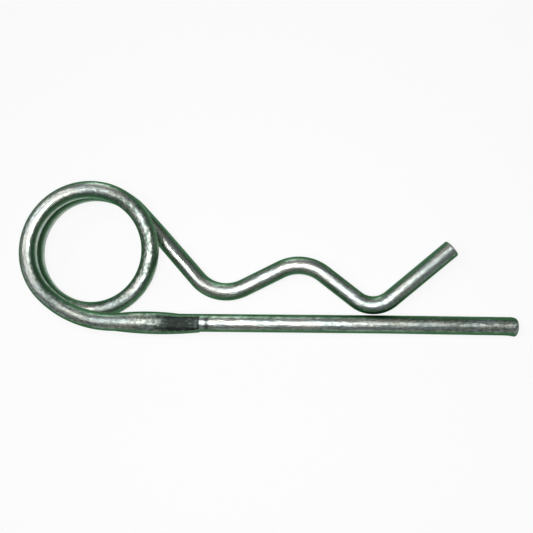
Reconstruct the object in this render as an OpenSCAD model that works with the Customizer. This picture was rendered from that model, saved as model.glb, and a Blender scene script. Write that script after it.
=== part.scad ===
// Hitch R clip: one length of round spring wire. A straight leg leads into a close coil of a
// little over one and a half turns, and the wire leaves it as a leg with two valleys and a
// hump, which grips the outside of the pin that the straight leg passes through.
// Lengths are in millimetres and angles in degrees. The clip lies as it comes to rest.

/* [Wire] */
// Diameter of the wire
wire_d = 4; // [3:0.1:5]
// How much the wire's radius shrinks where it is bent round a tool
bend_thin = 0.01; // [0.005:0.005:0.05]
// Radius that the shear rolled over on the straight leg's end, on the side towards the wave
tip_roll = 1.3; // [0.5:0.1:2.5]
// Radius that breaks the rim of the straight leg's sheared end
tip_round = 0.65; // [0.1:0.05:1]
// Radius that breaks the rim of the wavy leg's sheared end
tail_round = 0.3; // [0.1:0.05:1]

/* [Coil] */
// Clear diameter of the eye inside the coil
eye_d = 24; // [20:0.5:32]
// Gap between one turn and the next
turn_gap = 0.15; // [0.1:0.05:1]
// Whole turns beyond the part turn that joins the two legs
extra_turns = 1; // [1:1:2]

/* [Straight leg] */
// Reach of the leg from the coil's axis to its end
leg_reach = 95.5; // [90:0.5:130]
// Radius of the easy bend that leads the leg into the coil
lead_r = 23.5; // [20:0.5:30]
// Angle that the easy bend turns through
lead_turn = 43; // [30:1:50]
// How far past the wave's second valley the leg has its slight kick
kick_past = 2.9; // [2:0.1:8]
// Angle of the kick, away from the wave
kick_turn = 0.35; // [0.2:0.05:2]
// Radius of the kick
kick_r = 200; // [150:10:300]

/* [Tool mark] */
// Distance from the coil's axis to the sharp shoulder that the forming jaw left
mark_x = 26.3; // [23:0.1:30]
// Length of the pressed flats, which run out towards the coil
mark_len = 12; // [6:0.5:14]
// Depth of the flats at the shoulder
mark_depth = 0.42; // [0.1:0.02:0.6]
// Bulge of the squeezed wire on the side away from the wave
swell_out = 0.63; // [0.2:0.01:0.9]
// Bulge of the squeezed wire on the side towards the wave
swell_in = 0.45; // [0.2:0.01:0.9]
// Distance from the shoulder back to the middle of the outer bulge
swell_back = 9; // [6:0.5:10]
// How much further back the middle of the inner bulge lies
swell_shift = 3; // [2:0.5:4]

/* [Wave] */
// Diameter of the pin that the hump reaches over
pin_d = 22; // [19:0.5:26]
// Slope of the run that falls from the coil to the first valley
coil_fall = 47.3; // [44:0.1:52]
// Slope of the run that climbs to the hump
hump_rise = 26.3; // [22:0.1:32]
// Slope of the run that falls from the hump
hump_fall = 38.1; // [33:0.1:42]
// Slope of the tail
tail_rise = 40.2; // [32:0.1:46]
// Length of the tail, from the corner of the second valley to the sheared end
tail_len = 22.1; // [15:0.1:30]
// Radius of the first valley, on the wire's middle line
valley_r = 9.4; // [7:0.1:11]
// Radius of the hump, on the wire's middle line
hump_r = 9; // [7:0.1:12]
// Radius of the second valley, on the wire's middle line
foot_r = 6; // [4.5:0.1:7]
// Gap between the first valley and the straight leg
valley_gap = 3.05; // [1.5:0.05:5]
// Gap between the second valley and the straight leg, which it presses on when in use
foot_gap = 0.2; // [0.15:0.05:1]

/* [Set-over] */
// Distance that the wire runs on from the coil before it is set over to the straight leg
set_run = 7; // [6:0.5:9]
// Radius of the set-over bend
set_r = 16; // [10:1:24]
// Angle at which the wave leans across to the straight leg
wave_lean = 4; // [2:0.5:6]

/* [Hidden] */
$fn = 96;

wire_r = wire_d / 2;
// how far a bend reaches into the straight wire at each end, so that the two join
lap = 0.25;
// the bends have a full-size and a slim wire in turn, so each pair of neighbours differs
slim_r = wire_r - bend_thin;
// the most that one arc of the coil turns through
most_arc_turn = 100;
// steps along each bend when the clip's rest is worked out, and round each rim
rest_steps = $fn / 8;
rim_steps = $fn / 16;

// ---- plan of the clip: coil's axis at the origin, straight leg along +X at height 0 ----
coil_r = (eye_d + wire_d) / 2;
pitch = wire_d + turn_gap;
leg_y = -coil_r - (lead_r - coil_r) * (1 - cos(lead_turn));
lead_x = (lead_r - coil_r) * sin(lead_turn);

// How far a bend between two slopes stays inside its corner, at its highest or lowest point.
function corner_lift(r, fall, rise) = r * (cos((fall - rise) / 2) / cos((fall + rise) / 2) - 1);

// heights of the wave's corners above the straight leg's middle line
valley_h = wire_d + valley_gap - corner_lift(valley_r, coil_fall, hump_rise);
hump_h = pin_d / 2 + wire_r + corner_lift(hump_r, hump_fall, hump_rise);
foot_h = wire_d + foot_gap - corner_lift(foot_r, hump_fall, tail_rise);

// the wire leaves the coil along a tangent, and each corner lies where its run reaches its height
exit_at = 90 - coil_fall;
valley_x = (coil_r - (leg_y + valley_h) * sin(exit_at)) / cos(exit_at);
hump_x = valley_x + (hump_h - valley_h) / tan(hump_rise);
foot_x = hump_x + (hump_h - foot_h) / tan(hump_fall);
coil_turn = 360 * extra_turns + 270 - exit_at - lead_turn;

// ---- the coil as arcs of equal length, each in its own slightly tilted plane ----
arcs = 2 * ceil(coil_turn / most_arc_turn / 2);
arc_step = coil_turn / arcs;
side = 2 * coil_r * tan(arc_step / 2);
side_drop = pitch * arc_step / 360;
helix_slope = side_drop / side;
side_len = norm([side, side_drop]);
arc_turn = acos((side * side * cos(arc_step) + side_drop * side_drop) / (side_len * side_len));
arc_r = side_len / 2 / tan(arc_turn / 2);
lead_tangent = lead_r * tan(lead_turn / 2);
coil_top = -helix_slope * (lead_tangent + side / 2);

function coil_corner(k) =
    let (at = -90 - lead_turn - (k + 0.5) * arc_step, out = coil_r / cos(arc_step / 2))
    [out * cos(at), out * sin(at), coil_top - side_drop * k];
function on_wave(x, h) = [x, leg_y + h, (x - foot_x) * tan(wave_lean)];

kick = [foot_x + kick_past, leg_y, 0];
exit_point = [coil_r * cos(exit_at), coil_r * sin(exit_at), coil_top - side_drop * (arcs - 0.5)];
exit_way = [sin(exit_at), -cos(exit_at), -helix_slope];

// each bend of the wire is a corner and the radius that rounds it, from the tip to the tail
leg_corners = [
    [kick + (leg_reach - kick[0]) * [1, -tan(kick_turn), 0], 0],
    [kick, kick_r],
    [[lead_x - lead_tangent, leg_y, 0], lead_r]];
coil_corners = [for (k = [0 : arcs - 1]) [coil_corner(k), arc_r]];
wave_corners = [
    [exit_point + set_run * exit_way, set_r],
    [on_wave(valley_x, valley_h), valley_r],
    [on_wave(hump_x, hump_h), hump_r],
    [on_wave(foot_x, foot_h), foot_r],
    [on_wave(foot_x + tail_len * cos(tail_rise), foot_h + tail_len * sin(tail_rise)), 0]];
corners = concat(leg_corners, coil_corners, wave_corners);
last = len(corners) - 1;
first_arc = len(leg_corners);
last_arc = first_arc + arcs - 1;

// ---- what follows from the corners ----
function unit(v) = v / norm(v);
function way(i) = unit(corners[i + 1][0] - corners[i][0]);
function turn(i) = acos(min(1, way(i - 1) * way(i)));
function tangent(i) = corners[i][1] * tan(turn(i) / 2);
function in_coil(i) = i >= first_arc && i <= last_arc;
function is_slim(i) = !in_coil(i) || (i - first_arc) % 2 == 1;
// a bend's own axes: outwards from its middle, along the wire, and the axis that it turns about
function bend_up(i) = unit(cross(way(i - 1), way(i)));
function bend_out(i) = -cross(bend_up(i), way(i - 1));
function bend_mid(i) = corners[i][0] - tangent(i) * way(i - 1) - corners[i][1] * bend_out(i);
function bend_point(i, t) =
    bend_mid(i) + corners[i][1] * (cos(t) * bend_out(i) + sin(t) * way(i - 1));

// ---- how it comes to rest: on the tip of the leg and on two places of the coil's side ----
tip_contact = corners[0][0] + tip_round * way(0);
spine = concat([tip_contact],
               [for (i = [1 : last - 1])
                    for (s = [0 : rest_steps]) bend_point(i, turn(i) * s / rest_steps)],
               [corners[last][0]]);
function lowest(list) = [for (p = list) if (p[2] == min([for (q = list) q[2]])) p][0];
lengths = [for (i = [1 : len(spine) - 1]) norm(spine[i] - spine[i - 1])];
middles = [for (i = [1 : len(spine) - 1]) (spine[i] + spine[i - 1]) / 2];
balance = lengths * middles / (lengths * [for (l = lengths) 1]);

// The clip rocks about the tip and one contact until the next place of the coil's side touches.
function beside(p, from) = (p - tip_contact) * unit(cross([0, 0, 1], from - tip_contact));
function above(p, from) =
    let (along = from - tip_contact)
    (p - tip_contact) * unit(cross(along, cross([0, 0, 1], along)));
function touches_next(from) =
    let (found = [for (p = spine) if (beside(p, from) > wire_r / 2) p],
         slopes = [for (p = found) above(p, from) / beside(p, from)],
         least = min(slopes))
    [for (i = [0 : len(found) - 1]) if (slopes[i] == least) found[i]][0];
// It stops once its balance point lies between the two contacts.
function settle(from) =
    let (to = touches_next(from))
    beside(balance, to) > 0 ? settle(to) : [from, to];
contacts = settle(lowest(spine));

rest_up = unit(cross(contacts[0] - tip_contact, contacts[1] - tip_contact));
rest_x = unit([1, 0, 0] - rest_up[0] * rest_up);
rest_y = cross(rest_up, rest_x);
function along_x(p) = p * rest_x;
function along_y(p) = p * rest_y;
swell_low = [mark_x - swell_back, leg_y - swell_out, 0];
reach_x = [for (p = concat(spine, [corners[0][0]])) along_x(p)];
reach_y = [for (p = concat(spine, [swell_low])) along_y(p)];
mid_x = (min(reach_x) - wire_r + max(reach_x)) / 2;
mid_y = (min(reach_y) + max(reach_y)) / 2;
floor_z = tip_contact * rest_up - wire_r;

// Puts a shape's X, Y and Z along three given directions, at a given place.
module set_at(x, y, z, place) {
    multmatrix([[x[0], y[0], z[0], place[0]],
                [x[1], y[1], z[1], place[1]],
                [x[2], y[2], z[2], place[2]],
                [0, 0, 0, 1]])
        children();
}

// One bend of the wire: part of a ring.
module bend(i) {
    r = corners[i][1];
    extra = is_slim(i) ? lap / r * 180 / PI : 0;
    set_at(bend_out(i), way(i - 1), bend_up(i), bend_mid(i))
        rotate([0, 0, -extra])
            rotate_extrude(angle = turn(i) + 2 * extra)
                translate([r, 0])
                    circle(r = is_slim(i) ? slim_r : wire_r);
}

// Half the outline of a wire's end, from the middle of the cut face round the rim to the wall.
// hand is 1 where the wire starts at this place and -1 where it ends there.
function end_outline(place, hand, rim_r) =
    concat([[0, place]],
           rim_r == 0 ? [[wire_r, place]] :
           [for (k = [0 : rim_steps])
                let (t = 90 * k / rim_steps)
                [wire_r - rim_r * (1 - sin(t)), place + hand * rim_r * (1 - cos(t))]]);
function backwards(list) = [for (i = [len(list) - 1 : -1 : 0]) list[i]];

// The straight wire from one bend to the next, with a rounded rim where it ends.
module run(i) {
    from = i == 0 ? 0 : tangent(i);
    to = i == last - 1 ? 0 : tangent(i + 1);
    long = norm(corners[i + 1][0] - corners[i][0]) - from - to;
    across = unit(cross([0, 0, 1], way(i)));
    set_at(across, cross(way(i), across), way(i), corners[i][0] + from * way(i))
        rotate_extrude()
            polygon(concat(end_outline(0, 1, i == 0 ? tip_round : 0),
                           backwards(end_outline(long, -1, i == last - 1 ? tail_round : 0))));
}

// The end of the straight leg, without the edge that the shear rolled over. The roll's circle is
// shifted a little outwards, so that it crosses the wall and the end and is not level with them.
module sheared_tip() {
    inwards = way(0);
    to_wave = cross(inwards, [0, 0, 1]);
    difference() {
        run(0);
        set_at(inwards, to_wave, cross(inwards, to_wave), corners[0][0])
            linear_extrude(2 * wire_d, center = true)
                difference() {
                    translate([-wire_d, wire_r - tip_roll])
                        square([wire_d + tip_roll, wire_d]);
                    translate([tip_roll - lap / 10, wire_r - tip_roll + lap / 5])
                        circle(tip_roll);
                }
    }
}

// A sideways bulge of the squeezed leg: a shallow arc of the wire that starts level with the
// leg, where the easy bend ends, is highest at its middle, and stops at the shoulder.
module swell(middle, height, hand) {
    half = middle - lead_x - 2 * lap;
    r = (half * half + height * height) / (2 * height);
    start = -asin(half / r);
    stop = asin(min(half, mark_x - middle) / r);
    set_at([0, hand, 0], [1, 0, 0], [0, 0, -hand], [middle, leg_y + hand * (height - r), 0])
        rotate([0, 0, start])
            rotate_extrude(angle = stop - start)
                translate([r, 0])
                    circle(r = slim_r - bend_thin);
}

// What the jaw pressed away: a long wedge over one face of the leg, deepest at the shoulder.
module jaw_flat(face) {
    set_at([1, 0, 0], [0, 0, face], [0, -face, 0], [0, leg_y, 0])
        linear_extrude(2 * wire_d, center = true)
            polygon([[mark_x - mark_len, wire_r],
                     [mark_x, wire_r - mark_depth],
                     [mark_x, wire_d],
                     [mark_x - mark_len, wire_d]]);
}

module pressed_leg() {
    difference() {
        union() {
            run(1);
            swell(mark_x - swell_back, swell_out, -1);
            swell(mark_x - swell_back - swell_shift, swell_in, 1);
        }
        jaw_flat(1);
        jaw_flat(-1);
    }
}

module clip_wire() {
    color("silver")
        translate([-mid_x, -mid_y, -floor_z])
            set_at([rest_x[0], rest_y[0], rest_up[0]],
                   [rest_x[1], rest_y[1], rest_up[1]],
                   [rest_x[2], rest_y[2], rest_up[2]],
                   [0, 0, 0])
                union() {
                    sheared_tip();
                    pressed_leg();
                    for (i = [last_arc : last - 1]) run(i);
                    for (i = [1 : last - 1]) bend(i);
                }
}

clip_wire();
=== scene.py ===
import math

import bmesh
import bpy
from mathutils import Matrix, Vector


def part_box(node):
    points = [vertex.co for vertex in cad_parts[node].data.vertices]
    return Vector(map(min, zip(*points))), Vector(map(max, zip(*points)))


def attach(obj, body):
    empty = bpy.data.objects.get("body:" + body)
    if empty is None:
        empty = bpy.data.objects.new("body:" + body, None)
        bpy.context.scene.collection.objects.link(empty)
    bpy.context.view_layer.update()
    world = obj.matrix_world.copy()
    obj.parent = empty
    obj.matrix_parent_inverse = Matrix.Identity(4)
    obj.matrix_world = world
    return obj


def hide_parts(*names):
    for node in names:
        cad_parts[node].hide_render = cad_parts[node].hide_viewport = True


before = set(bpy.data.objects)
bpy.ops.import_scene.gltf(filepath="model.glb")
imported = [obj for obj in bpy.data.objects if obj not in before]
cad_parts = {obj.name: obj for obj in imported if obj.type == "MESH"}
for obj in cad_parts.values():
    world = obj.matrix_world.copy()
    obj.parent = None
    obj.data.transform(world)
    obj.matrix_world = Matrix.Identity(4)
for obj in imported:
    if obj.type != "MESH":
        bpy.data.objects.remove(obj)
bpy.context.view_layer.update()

mm = 0.001


# ---- Camera ----
# It looks down on the clip as it lies, from a hand's breadth and a half above the hump, and leans
# a little, so that the clip's own plane lies nearly square to it.
camera_place = Vector((15.75, -38.08, 144.32)) * mm
camera_turn = [math.radians(angle) for angle in (14.366, 5.609, 1.096)]
camera_view = math.radians(45.11)

camera_data = bpy.data.cameras.new("camera")
camera_data.sensor_fit = "HORIZONTAL"
camera_data.angle = camera_view
camera_data.clip_start = 1 * mm
camera = bpy.data.objects.new("camera", camera_data)
camera.location = camera_place
camera.rotation_euler = camera_turn
bpy.context.scene.collection.objects.link(camera)
bpy.context.scene.camera = camera


# ---- Wire clip ----
# One length of hard spring wire, cut off with a shear, bent cold round pins and plated with zinc
# afterwards. Its straight leg runs into a close coil, and the coil into the wave that grips.

# The lead is the easy bend from the leg into the coil, and the kick is a slight bend in the leg,
# just past the foot. The wave falls from the coil to its valley, climbs to the hump, falls to the
# foot, which all but touches the leg, and rises to the tail.
wire_d = 4 * mm
wire_r = wire_d / 2
eye_d = 24 * mm
turn_gap = 0.15 * mm
leg_reach = 95.5 * mm
lead_r = 23.5 * mm
lead_turn = math.radians(43)
kick_past = 2.9 * mm
kick_turn = math.radians(0.35)
kick_r = 200 * mm
pin_d = 22 * mm
coil_fall = math.radians(47.3)
hump_rise = math.radians(26.3)
hump_fall = math.radians(38.1)
tail_rise = math.radians(40.2)
tail_len = 22.1 * mm
valley_r = 9.4 * mm
hump_r = 9 * mm
foot_r = 6 * mm
valley_gap = 3.05 * mm
foot_gap = 0.2 * mm
set_run = 7 * mm
set_r = 16 * mm
wave_lean = math.radians(4)

coil_r = (eye_d + wire_d) / 2
pitch = wire_d + turn_gap
leg_y = -coil_r - (lead_r - coil_r) * (1 - math.cos(lead_turn))
lead_x = (lead_r - coil_r) * math.sin(lead_turn)
lead_tangent = lead_r * math.tan(lead_turn / 2)


def inside_corner(radius, fall, rise):
    """How far a bend between two slopes stays inside the corner that it rounds."""
    return radius * (math.cos((fall - rise) / 2) / math.cos((fall + rise) / 2) - 1)


# Heights of the wave's corners above the straight leg, and how far along it each one lies.
valley_h = wire_d + valley_gap - inside_corner(valley_r, coil_fall, hump_rise)
hump_h = pin_d / 2 + wire_r + inside_corner(hump_r, hump_fall, hump_rise)
foot_h = wire_d + foot_gap - inside_corner(foot_r, hump_fall, tail_rise)
exit_at = math.pi / 2 - coil_fall
valley_x = (coil_r - (leg_y + valley_h) * math.sin(exit_at)) / math.cos(exit_at)
hump_x = valley_x + (hump_h - valley_h) / math.tan(hump_rise)
foot_x = hump_x + (hump_h - foot_h) / math.tan(hump_fall)

# The coil goes once round and on to where the wave leaves it, in arcs that each lean a little.
coil_turn = math.radians(360 + 270) - exit_at - lead_turn
arcs = 6
arc_step = coil_turn / arcs
arc_side = 2 * coil_r * math.tan(arc_step / 2)
arc_drop = pitch * arc_step / (2 * math.pi)
arc_turn = math.acos((arc_side ** 2 * math.cos(arc_step) + arc_drop ** 2)
                     / (arc_side ** 2 + arc_drop ** 2))
arc_r = math.hypot(arc_side, arc_drop) / 2 / math.tan(arc_turn / 2)
coil_top = -arc_drop / arc_side * (lead_tangent + arc_side / 2)


def round_coil(angle, radius, drop):
    """A place beside the coil's axis, at an angle from +X and so far below the coil's top."""
    return Vector((radius * math.cos(angle), radius * math.sin(angle), coil_top - drop))


def on_wave(x, height):
    """A place in the wave's own plane, which leans across to the straight leg."""
    return Vector((x, leg_y + height, (x - foot_x) * math.tan(wave_lean)))


# Each corner of the wire's middle line, from the leg's tip to the tail, and its bend's radius.
kick = Vector((foot_x + kick_past, leg_y, 0))
leg_way = Vector((1, -math.tan(kick_turn), 0))
first_arc_at = -math.pi / 2 - lead_turn - arc_step / 2
exit_way = Vector((math.sin(exit_at), -math.cos(exit_at), -arc_drop / arc_side))
exit_place = round_coil(exit_at, coil_r, arc_drop * (arcs - 0.5))
tail_way = Vector((math.cos(tail_rise), math.sin(tail_rise), 0))
route = [(kick + leg_way * (leg_reach - kick.x), 0),
         (kick, kick_r),
         (Vector((lead_x - lead_tangent, leg_y, 0)), lead_r)]
for arc in range(arcs):
    corner_at = first_arc_at - arc * arc_step
    route.append((round_coil(corner_at, coil_r / math.cos(arc_step / 2), arc_drop * arc), arc_r))
route += [(exit_place + exit_way * set_run, set_r),
          (on_wave(valley_x, valley_h), valley_r),
          (on_wave(hump_x, hump_h), hump_r),
          (on_wave(foot_x, foot_h), foot_r),
          (on_wave(foot_x + tail_len * tail_way.x, foot_h + tail_len * tail_way.y), 0)]


def way(corner):
    """The direction of the straight wire that leaves a corner."""
    return (route[corner + 1][0] - route[corner][0]).normalized()


def tangent(corner):
    """How far from its corner a bend begins."""
    radius = route[corner][1]
    return radius * math.tan(way(corner - 1).angle(way(corner), 0) / 2) if radius else 0


def straight(corner):
    """Length of the straight wire between a corner's bend and the next one."""
    return (route[corner + 1][0] - route[corner][0]).length - tangent(corner) - tangent(corner + 1)


# The wire is drawn on from its tip, one ring of points after another. Each point also keeps its
# place on the same wire laid out straight: along it, across it in the clip's plane, and above.
facets = 96
bend_step = math.radians(2.25)
end_rings = 20
wire = bmesh.new()
laid_out = wire.verts.layers.float_vector.new("laid_out")
tip_place = route[0][0]
inwards = way(0)
to_wave = inwards.cross(Vector((0, 0, 1)))
tip_axes = Matrix((to_wave, inwards.cross(to_wave), inwards)).transposed().to_4x4()
tip_ring = bmesh.ops.create_circle(
    wire, segments=facets, radius=wire_r, matrix=Matrix.Translation(tip_place) @ tip_axes)["verts"]
for point in tip_ring:
    out = point.co - tip_place
    point[laid_out] = Vector((0, out.dot(to_wave), out.z))
tip_edges = wire.edges[:]


def draw_on(edges, carry, lay):
    """Draws the wire's open end on by one step. carry moves its new ring to its place on the
    clip, and lay moves it to its place on the straight wire."""
    drawn = bmesh.ops.extrude_edge_only(wire, edges=edges)["geom"]
    ring = {part for part in drawn if isinstance(part, bmesh.types.BMVert)}
    bmesh.ops.transform(wire, matrix=carry, verts=list(ring))
    for point in ring:
        point[laid_out] = lay @ point[laid_out]
    new_edges = [part for part in drawn if isinstance(part, bmesh.types.BMEdge)]
    return [edge for edge in new_edges if ring.issuperset(edge.verts)]


def run_on(edges, corner, length, steps=1):
    """Draws the wire on along the straight that leaves a corner."""
    step = length / steps
    for _ in range(steps):
        edges = draw_on(edges, Matrix.Translation(way(corner) * step), Matrix.Translation((step, 0, 0)))
    return edges


def bend_on(edges, corner):
    """Draws the wire on round a corner's bend."""
    place, radius = route[corner]
    axis = way(corner - 1).cross(way(corner)).normalized()
    centre = place - way(corner - 1) * tangent(corner) + axis.cross(way(corner - 1)) * radius
    turn = way(corner - 1).angle(way(corner))
    steps = math.ceil(turn / bend_step)
    carry = (Matrix.Translation(centre) @ Matrix.Rotation(turn / steps, 4, axis)
             @ Matrix.Translation(-centre))
    lay = Matrix.Translation((radius * turn / steps, 0, 0))
    for _ in range(steps):
        edges = draw_on(edges, carry, lay)
    return edges


def shut(edges, middle):
    """Closes an end of the wire, with rings on its cut face that grow smaller to the middle."""
    size = 1
    for ring in range(1, end_rings):
        new_size = math.cos(math.pi / 2 * ring / end_rings)
        shrink = Matrix.Scale(new_size / size, 4)
        carry = Matrix.Translation(middle) @ shrink @ Matrix.Translation(-middle)
        along = Matrix.Translation((edges[0].verts[0][laid_out].x, 0, 0))
        edges = draw_on(edges, carry, along @ shrink @ along.inverted())
        size = new_size
    bmesh.ops.contextual_create(wire, geom=edges)


# The leg, with rings close together where the shear, the kick and the forming jaw marked it.
mark_x = 26.3 * mm
mark_step = 0.25 * mm
shoulder_run = 0.06 * mm
steady_run = 0.5 * mm
steady_rings = 4
end_reach = 3 * mm
tip_rings = 16
tail_rings = 12
least_run = 0.001 * mm
mark_run = mark_x - lead_x
last = len(route) - 1
open_end = run_on(tip_edges, 0, end_reach, tip_rings)
open_end = run_on(open_end, 0, straight(0) - end_reach)
open_end = bend_on(open_end, 1)
open_end = run_on(open_end, 1, straight(1) - mark_run - shoulder_run - steady_run)
open_end = run_on(open_end, 1, steady_run, steady_rings)
open_end = run_on(open_end, 1, shoulder_run)
shoulder_at = open_end[0].verts[0][laid_out].x
open_end = run_on(open_end, 1, mark_run, math.ceil(mark_run / mark_step))

# The easy bend, the coil, the set-over and the wave, as far as the tail's cut end.
for corner in range(2, last):
    open_end = bend_on(open_end, corner)
    length = straight(corner) - (end_reach if corner == last - 1 else 0)
    if length > least_run:
        open_end = run_on(open_end, corner, length)
open_end = run_on(open_end, last - 1, end_reach, tail_rings)
wire_length = open_end[0].verts[0][laid_out].x
shut(open_end, route[last][0])
shut(tip_edges, tip_place)

# The shear rolled one edge of the tip over and left a thin burr on the other, and both ends have
# slightly rounded rims.
tip_roll = 1.3 * mm
tip_round = 0.65 * mm
tail_round = 0.3 * mm
burr_out = 0.22 * mm
burr_fade = 2
burr_narrow = 6


def rim(point, radius):
    """How far back from the cut face its rounded rim lies."""
    _, across, height = point[laid_out]
    over = min(1, max(0, math.hypot(across, height) - wire_r + radius) / radius)
    return radius * (1 - math.sqrt(1 - over ** 2))


def rolled(point):
    """How far back from the cut face the rolled-over edge lies."""
    over = min(tip_roll, max(0, point[laid_out].y - wire_r + tip_roll))
    return tip_roll - math.sqrt(tip_roll ** 2 - over ** 2)


for point in wire.verts:
    along, across, height = point[laid_out]
    from_tail = wire_length - along
    if along < end_reach:
        fade = 1 - along / end_reach
        point.co += inwards * fade * max(rolled(point), rim(point, tip_round))
        burr = burr_out * fade ** burr_fade * max(0, -across / wire_r) ** burr_narrow
        point.co -= to_wave * burr
    if from_tail < end_reach:
        point.co -= way(last - 1) * (1 - from_tail / end_reach) * rim(point, tail_round)

# The forming jaw pressed a flat on each face of the leg, which ends at a sharp shoulder, and the
# squeezed metal bulges out on both sides of it. The flat is deepest at the shoulder, and its long
# edges are soft over a part of its depth.
mark_len = 12 * mm
mark_depth = 0.42 * mm
edge_parts = 3
swell_out = 0.63 * mm
swell_in = 0.45 * mm
swell_back = 9 * mm
swell_shift = 3 * mm
swell_start = 0.5 * mm


def swell(back, middle, height):
    """Height of a bulge that is highest at its middle, so far back from the shoulder."""
    half = mark_run - middle - swell_start
    radius = (half ** 2 + height ** 2) / (2 * height)
    away = abs(back - middle)
    return math.sqrt(radius ** 2 - away ** 2) - (radius - height) if away < half else 0


for point in wire.verts:
    along, across, height = point[laid_out]
    back = along - shoulder_at
    if 0 <= back <= mark_run:
        if across > 0:
            bulge = swell(back, swell_back + swell_shift, swell_in)
        else:
            bulge = -swell(back, swell_back, swell_out)
        point.co += to_wave * bulge * (across / wire_r) ** 2
        depth = mark_depth * max(0, 1 - back / mark_len)
        if depth > 0:
            soft = depth / edge_parts
            point.co.z -= math.copysign(
                soft * math.log1p(math.exp((abs(height) - wire_r + depth) / soft)), height)

# It lies on its tip and the coil's side, so its plane leans: rest_x and rest_up are the table's X
# and its upright in the clip's own directions. The frame gives its place.
rest_x = Vector((0.99934, 0.006524, 0.035731))
rest_up = Vector((-0.036322, 0.179505, 0.983086))
at_rest = Matrix((rest_x, rest_up.cross(rest_x), rest_up)).to_4x4()
bmesh.ops.transform(wire, matrix=at_rest, verts=wire.verts)
cad_low, cad_high = (Vector(corner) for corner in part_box("clip_wire"))
low = Vector([min(point.co[axis] for point in wire.verts) for axis in range(3)])
high = Vector([max(point.co[axis] for point in wire.verts) for axis in range(3)])
settle = (cad_low + cad_high - low - high) / 2
settle.z = cad_low.z - low.z
bmesh.ops.translate(wire, vec=settle, verts=wire.verts)
bmesh.ops.recalc_face_normals(wire, faces=wire.faces)


def face_order(face):
    """A number that sorts the faces by their first point and then by their last."""
    numbers = [point.index for point in face.verts]
    return min(numbers) * len(wire.verts) + max(numbers)


# Blender's extrusion leaves the faces in no fixed order, so they get one here.
wire.verts.index_update()
wire.faces.sort(key=face_order)
for face in wire.faces:
    face.smooth = True
wire_mesh = bpy.data.meshes.new("spring_wire")
wire.to_mesh(wire_mesh)
wire.free()
spring_wire = bpy.data.objects.new("spring_wire", wire_mesh)
bpy.context.scene.collection.objects.link(spring_wire)


class Shade:
    """One output of a material's node. Python's arithmetic on it adds Math nodes."""

    def __init__(self, tree, socket=None):
        self.tree = tree
        self.socket = socket

    def node(self, kind, settings, sockets, output=0):
        """Adds a node, sets it up, and gives its sockets their values or links."""
        added = self.tree.nodes.new(kind)
        for name, value in settings.items():
            setattr(added, name, value)
        for name, value in sockets.items():
            if isinstance(value, Shade):
                self.tree.links.new(value.socket, added.inputs[name])
            else:
                added.inputs[name].default_value = value
        return Shade(self.tree, added.outputs[output] if added.outputs else None)

    def maths(self, operation, first, second=0.0):
        """Adds a Math node."""
        return self.node("ShaderNodeMath", {"operation": operation}, {0: first, 1: second})

    def __add__(self, other):
        return self.maths("ADD", self, other)

    def __radd__(self, other):
        return self.maths("ADD", other, self)

    def __sub__(self, other):
        return self.maths("SUBTRACT", self, other)

    def __rsub__(self, other):
        return self.maths("SUBTRACT", other, self)

    def __mul__(self, other):
        return self.maths("MULTIPLY", self, other)

    def __rmul__(self, other):
        return self.maths("MULTIPLY", other, self)

    def __pow__(self, other):
        return self.maths("POWER", self, other)

    def __rpow__(self, other):
        return self.maths("POWER", other, self)

    def __abs__(self):
        return self.maths("ABSOLUTE", self)

    def ramp(self, start, stop):
        """Rises smoothly from 0 to 1 as this goes from start to stop."""
        return self.node("ShaderNodeMapRange", {"interpolation_type": "SMOOTHSTEP"},
                         {"Value": self, "From Min": start, "From Max": stop})

    def band(self, rise, fall):
        """Rises from 0 to 1 over the pair of values in rise, and drops back over those in fall."""
        return self.ramp(*rise) * (1 - self.ramp(*fall))

    def colour(self, at_none, at_full):
        """Goes from one colour to the other as this goes from 0 to 1. A Mix node's colours are its
        inputs 6 and 7, and its output 2."""
        return self.node("ShaderNodeMix", {"data_type": "RGBA"}, {0: self, 6: at_none, 7: at_full}, 2)

    def stretched(self, stretch):
        """A place with each of its directions stretched or squeezed."""
        return self.node("ShaderNodeVectorMath", {"operation": "MULTIPLY"}, {0: self, 1: stretch})

    def grain(self, size, detail=3.0, roughness=0.55):
        """Mottling over a place, with features of about this size, from 0 to 1."""
        return self.node("ShaderNodeTexNoise", {},
                         {"Vector": self, "Scale": 1 / size, "Detail": detail, "Roughness": roughness})


# Zinc plate, bright on the wire's top and underside, with a painted reflection of a dark green
# surround along each flank, fine draw lines along the wire and a dull grain. It is dullest just
# behind the jaw's shoulder, smoothest and brightened by a painted highlight on the wave's first
# run, and the flats that the jaw pressed are dark.
warm_zinc = (0.62, 0.63, 0.575, 1)
cool_zinc = (0.55, 0.62, 0.61, 1)
dull_zinc = (0.175, 0.225, 0.185, 1)
# A painted reflection of a dark green surround, laid along each flank.
painted_flank_reflection = (0.085, 0.175, 0.10, 1)
# A green tint for the gloss at the grazing edges: a painted reflection of a green surround.
painted_edge_reflection = (0.12, 0.30, 0.16, 1)
# The colour of the pressed flats: nearly black.
flat_near_black = (0.03, 0.038, 0.034, 1)

zinc = bpy.data.materials.new("zinc_plated_wire")
zinc.use_nodes = True
zinc.node_tree.nodes.clear()
finish = Shade(zinc.node_tree)
on_wire = finish.node("ShaderNodeAttribute", {"attribute_name": "laid_out"}, {}, "Vector")
along = finish.node("ShaderNodeSeparateXYZ", {}, {"Vector": on_wire}, "X")

# Grain of four sizes, each drawn out along the wire. Two are also wanted about nought.
line_size = 0.35 * mm
line_stretch = (0.12, 1, 1)
mottle_size = 0.6 * mm
mottle_stretch = (0.7, 1, 1)
cloud_size = 2.5 * mm
cloud_stretch = (0.4, 1, 1)
tone_size = 1.8 * mm
tone_stretch = (0.25, 1, 1)
grain_middle = 0.5

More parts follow.
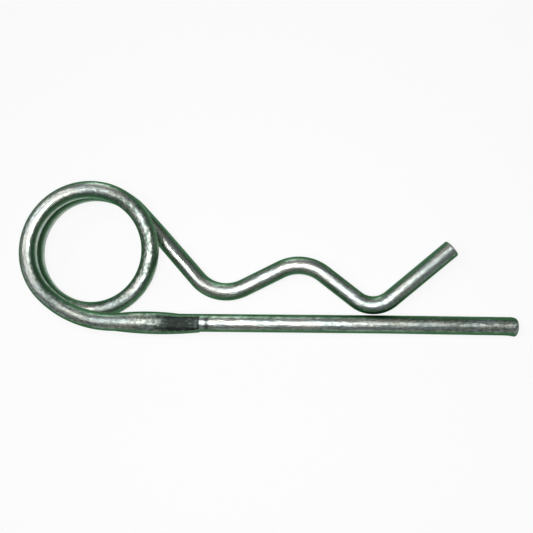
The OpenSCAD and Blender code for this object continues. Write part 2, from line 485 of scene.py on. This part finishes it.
draw_lines = on_wire.stretched(line_stretch).grain(line_size)
mottle = on_wire.stretched(mottle_stretch).grain(mottle_size, detail=2.0)
clouds = on_wire.stretched(cloud_stretch).grain(cloud_size)
tones = on_wire.stretched(tone_stretch).grain(tone_size, detail=1.0)
mottle_swing = mottle - grain_middle
cloud_swing = clouds - grain_middle

# The wire's top and underside look along the clip's own upright, and its flanks across it. The
# square of facing is kept just under 1, so that the root is never of less than nought.
face_waver = 0.4
face_edge = (0.5, 0.8)
within_one = 0.9999

normal = finish.node("ShaderNodeNewGeometry", {}, {}, "Normal")
clip_up = at_rest @ Vector((0, 0, 1))
facing = finish.node("ShaderNodeVectorMath", {"operation": "DOT_PRODUCT"},
                     {0: normal, 1: clip_up}, "Value")
flank = (1 - facing * facing * within_one) ** 0.5
faces = 1 - (flank + cloud_swing * face_waver).ramp(*face_edge)

# Places along the wire, from the leg's tip. Each pair is where one gradual change starts and stops.
jaw_from = (shoulder_at - 0.1 * mm, shoulder_at)
jaw_to = (shoulder_at + 8 * mm, shoulder_at + 14 * mm)
jaw_waver = 3 * mm
# A painted shade just in front of the shoulder, where a slight hollow would be shaded.
dent_shade_from = (shoulder_at - 2.6 * mm, shoulder_at - 1.8 * mm)
dent_shade_to = (shoulder_at - 1.6 * mm, shoulder_at - 0.8 * mm)
tip_to = (-10 * mm, 50 * mm)
lead_from = (shoulder_at, shoulder_at + 4 * mm)
lead_ease = (shoulder_at + 8 * mm, shoulder_at + 13 * mm)
lead_less = 0.75
lead_to = (108 * mm, 114 * mm)
coil_from = (140 * mm, 150 * mm)
coil_to = (164 * mm, 192 * mm)
under_from = (192 * mm, 200 * mm)
under_to = (222 * mm, 234 * mm)
run_from = (226 * mm, 236 * mm)
run_to = (256 * mm, 266 * mm)

pressed = along.ramp(*jaw_from) * faces * (1 - (along + clouds * jaw_waver).ramp(*jaw_to))
painted_dent_shade = along.band(dent_shade_from, dent_shade_to) * faces
near_tip = 1 - along.ramp(*tip_to)
on_lead = along.band(lead_from, lead_to) * (1 - along.ramp(*lead_ease) * lead_less)
on_coil = along.band(coil_from, coil_to)
under_turn = along.band(under_from, under_to)
smooth_run_painted_bright = along.band(run_from, run_to)

# How dull the plate is, from 0 to 1, and the grain that this shows as. On the wave's first run
# it is made less dull, which paints a highlight there.
least_dull = 0.15
tip_dull = 0.2
lead_dull = 0.6
coil_dull = 0.35
# Paints a highlight on the wave's first run by making its plate less dull.
run_painted_highlight = 0.15
fine_share = 0.6
grain_edge = (0.38, 0.62)
least_grain = 0.4
dull_grain = 1.2
tone_edge = (0.35, 0.65)

dull_minus_painted_highlight = (least_dull + near_tip * tip_dull + on_lead * lead_dull + on_coil * coil_dull
        - smooth_run_painted_bright * run_painted_highlight)
grain = (mottle * fine_share + clouds * (1 - fine_share)).ramp(*grain_edge)
dull_here_minus_painted_highlight = dull_minus_painted_highlight + (grain - grain_middle) * (least_grain + dull_minus_painted_highlight * dull_grain)
sheen = tones.ramp(*tone_edge).colour(cool_zinc, warm_zinc)
worn_and_painted_highlight = dull_here_minus_painted_highlight.ramp(0, 1).colour(sheen, dull_zinc)

# The painted reflection starts where the faces turn over and stops short of the wire's outermost
# line. It reaches further in, as painted shade, where the coil runs under its own first turn.
paint_waver = 0.3
under_paint = 0.3
paint_edge = (0.3, 0.8)
outer_waver = 0.2
outer_edge = (0.05, 0.45)

paint_reach = flank + cloud_swing * paint_waver + mottle_swing * paint_waver + under_turn * under_paint
painted_flank_mask = paint_reach.ramp(*paint_edge) * (abs(facing) + cloud_swing * outer_waver).ramp(*outer_edge)
with_painted_flank = painted_flank_mask.colour(worn_and_painted_highlight, painted_flank_reflection)

# The pressed flats are coloured nearly black, and a slightly lighter painted shade, where a
# slight hollow would be shaded, lies just in front of their shoulder.
dent_shade_share = 0.8
jaw_even = 0.8
jaw_mottle = 0.4

flat_dark_and_painted_shade = (pressed + painted_dent_shade * dent_shade_share) * (jaw_even + mottle * jaw_mottle)
colour = flat_dark_and_painted_shade.colour(with_painted_flank, flat_near_black)

# Roughness, and the height of the grain in the bump's own unit of one millimetre.
zinc_rough = 0.30
grain_rough = 0.08
dull_rough = 0.1
jaw_rough = 0.15
run_smooth = 0.065
line_height = 0.06
mottle_height = 0.08
tip_height = 0.05
run_flatter = 0.06

roughness = (zinc_rough + grain * grain_rough + dull_minus_painted_highlight * dull_rough + pressed * jaw_rough
             - smooth_run_painted_bright * run_smooth)
height = (draw_lines * line_height
          + mottle * (mottle_height + near_tip * tip_height - smooth_run_painted_bright * run_flatter))
bumps = finish.node("ShaderNodeBump", {}, {"Strength": 1.0, "Distance": 1 * mm, "Height": height})
# The specular tint paints a green reflection on the wire's grazing edges.
zinc_shader = finish.node("ShaderNodeBsdfPrincipled", {}, {
    "Base Color": colour, "Metallic": 1.0, "Roughness": roughness, "Specular Tint": painted_edge_reflection,
    "Normal": bumps})
finish.node("ShaderNodeOutputMaterial", {}, {"Surface": zinc_shader})
wire_mesh.materials.append(zinc)

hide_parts("clip_wire")
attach(spring_wire, "root")


# ---- Table ----
# A plain white table top, big enough to fill the view, which takes the clip's soft shadow. Where it
# is seen, straight or in the wire, most of it is a plain white glow, so that it looks even.
table_colour = (0.95, 0.95, 0.95, 1)
glow_colour = (1, 1, 1, 1)
table_reach = 3.0
table_glow = 0.88
table = bmesh.new()
bmesh.ops.create_grid(table, x_segments=1, y_segments=1, size=table_reach)
table_mesh = bpy.data.meshes.new("table_top")
table.to_mesh(table_mesh)
table.free()
table_top = bpy.data.objects.new("table_top", table_mesh)
bpy.context.scene.collection.objects.link(table_top)
paper = bpy.data.materials.new("table_paper")
paper.use_nodes = True
paper.node_tree.nodes.clear()
sheet = Shade(paper.node_tree)
seen = (sheet.node("ShaderNodeLightPath", {}, {}, "Is Camera Ray")
        + sheet.node("ShaderNodeLightPath", {}, {}, "Is Glossy Ray")
        + sheet.node("ShaderNodeLightPath", {}, {}, "Is Transmission Ray"))
matt = sheet.node("ShaderNodeBsdfDiffuse", {}, {"Color": table_colour})
white = sheet.node("ShaderNodeEmission", {}, {"Color": glow_colour, "Strength": 1.0})
mixed = sheet.node("ShaderNodeMixShader", {}, {0: seen * table_glow, 1: matt, 2: white})
sheet.node("ShaderNodeOutputMaterial", {}, {"Surface": mixed})
table_mesh.materials.append(paper)


# ---- Lamps ----
# A soft round lamp hangs just behind the camera, and four more, a metre off, glint on the leg, the
# coil and the bends. The room round them is dim overhead and pale low down, as a studio's
# backdrop is.
dim_room = (0.12, 0.125, 0.12, 1)
pale_room = (0.5, 0.5, 0.5, 1)
room_edge = (0.02, 0.16)
world = bpy.data.worlds.new("room")
world.use_nodes = True
world.node_tree.nodes.clear()
room = Shade(world.node_tree)
outwards = room.node("ShaderNodeTexCoord", {}, {}, "Generated")
upwards = room.node("ShaderNodeSeparateXYZ", {}, {"Vector": outwards}, "Z")
room_colour = upwards.ramp(*room_edge).colour(pale_room, dim_room)
backdrop = room.node("ShaderNodeBackground", {}, {"Color": room_colour})
room.node("ShaderNodeOutputWorld", {}, {"Surface": backdrop})
bpy.context.scene.world = world


def hang_lamp(name, turn, lean, reach, size, brightness):
    """Hangs a round soft lamp that faces the clip, turned round from +X and leaning from upright.
    Its power grows with its size, so that it looks equally bright however large it is."""
    lamp_data = bpy.data.lights.new(name, "AREA")
    lamp_data.shape = "DISK"
    lamp_data.size = size
    lamp_data.energy = brightness * (math.pi * size / 2) ** 2
    turn, lean = math.radians(turn), math.radians(lean)
    way_out = Vector((math.cos(turn) * math.sin(lean), math.sin(turn) * math.sin(lean), math.cos(lean)))
    lamp = bpy.data.objects.new(name, lamp_data)
    lamp.location = way_out * reach
    lamp.rotation_euler = way_out.to_track_quat("Z", "Y").to_euler()
    bpy.context.scene.collection.objects.link(lamp)


hang_lamp("key_lamp", turn=-109, lean=12.8, reach=0.155, size=0.08, brightness=8.5)
hang_lamp("side_lamp", turn=160, lean=32, reach=1.0, size=0.22, brightness=9)
hang_lamp("leg_lamp", turn=10, lean=24, reach=1.0, size=0.2, brightness=7)
hang_lamp("low_lamp", turn=-175, lean=40, reach=1.0, size=0.15, brightness=7)
hang_lamp("window_lamp", turn=100, lean=75, reach=1.0, size=0.35, brightness=6)

bpy.context.scene.view_settings.view_transform = "Standard"
